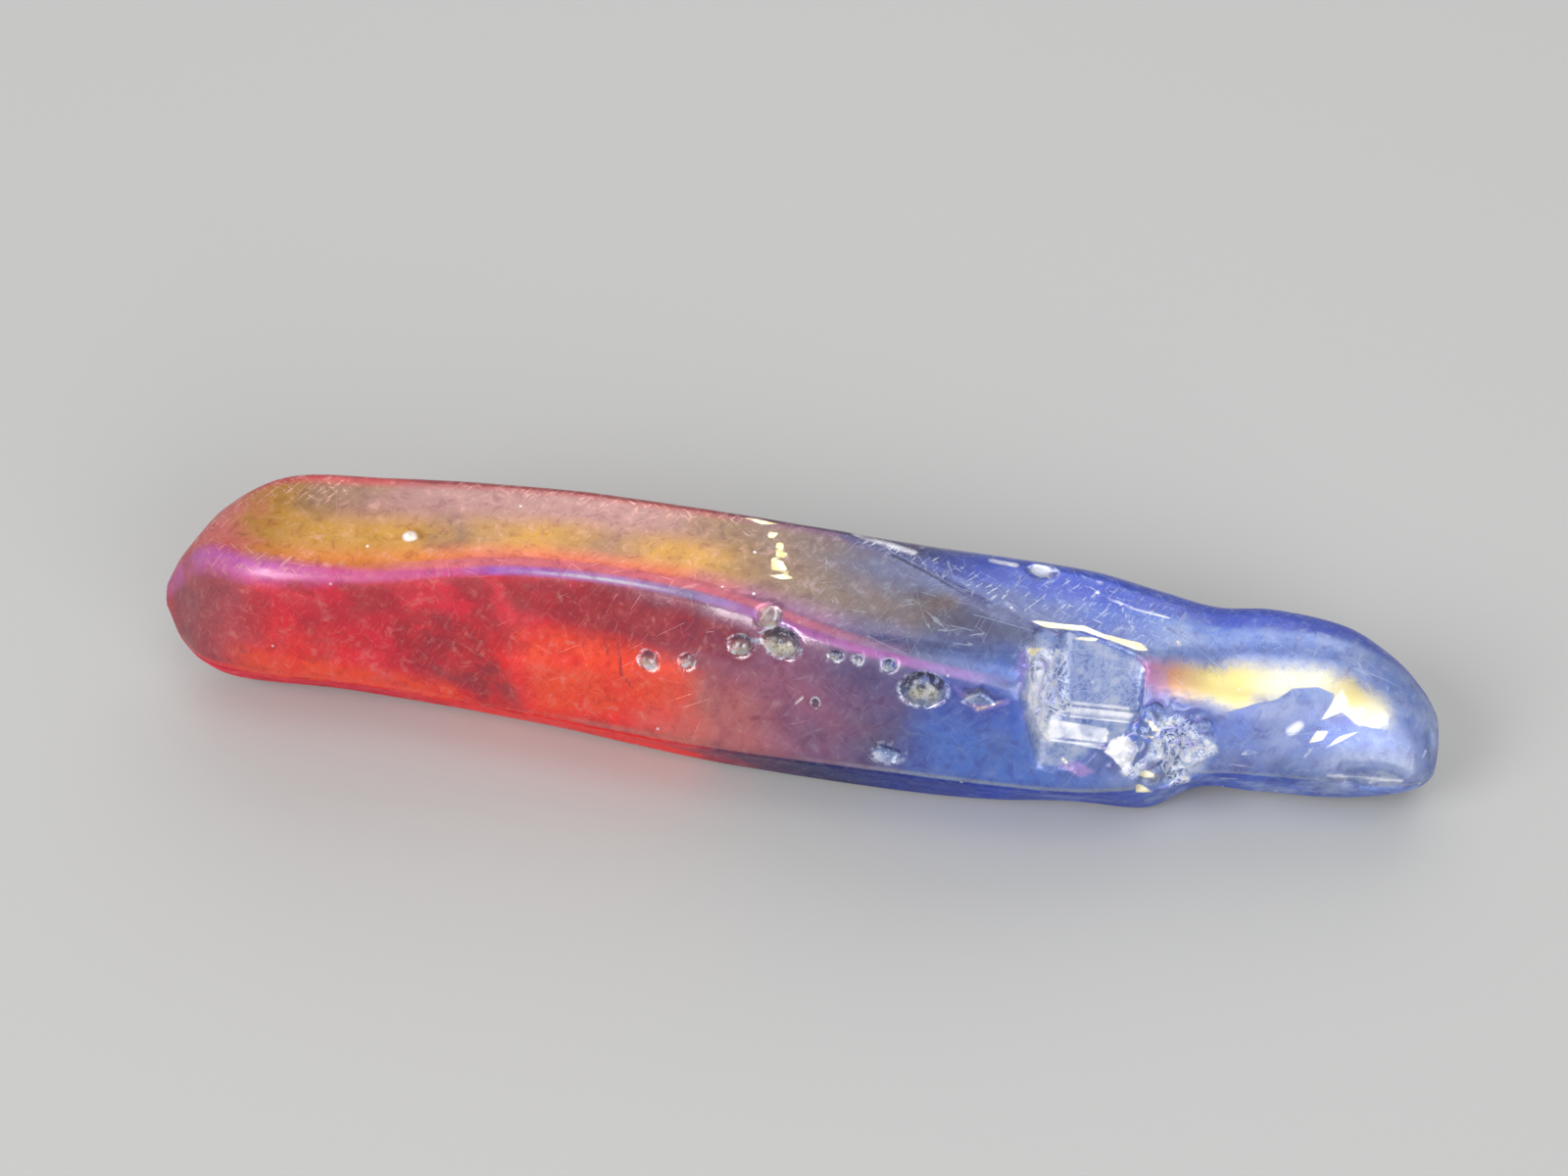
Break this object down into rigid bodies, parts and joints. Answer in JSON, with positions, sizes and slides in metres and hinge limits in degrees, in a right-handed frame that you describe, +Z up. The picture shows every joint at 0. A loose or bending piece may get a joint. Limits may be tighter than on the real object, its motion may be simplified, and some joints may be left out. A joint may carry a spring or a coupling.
{
  "type": "aura quartz point",
  "caption": "Tumbled single quartz crystal with a worn point, lying on one prism face, with an iridescent coating that runs from red to blue.",
  "frame": {"origin": "on the resting face, under the middle of the stone's box", "axes": "+X from the worn point to the broken root, +Z up from the face it lies on, -Y to the side with the broken socket"},
  "size_m": [0.075, 0.0144, 0.0126],
  "materials": {
    "aura_quartz": "tumble-polished quartz, see-through and tinted crimson at the point, orange-red, mauve, then blue at the root, with a thin iridescent coat"
  },
  "bodies": {
    "root": {"quartz_point": "aura_quartz"}
  },
  "joints": []
}
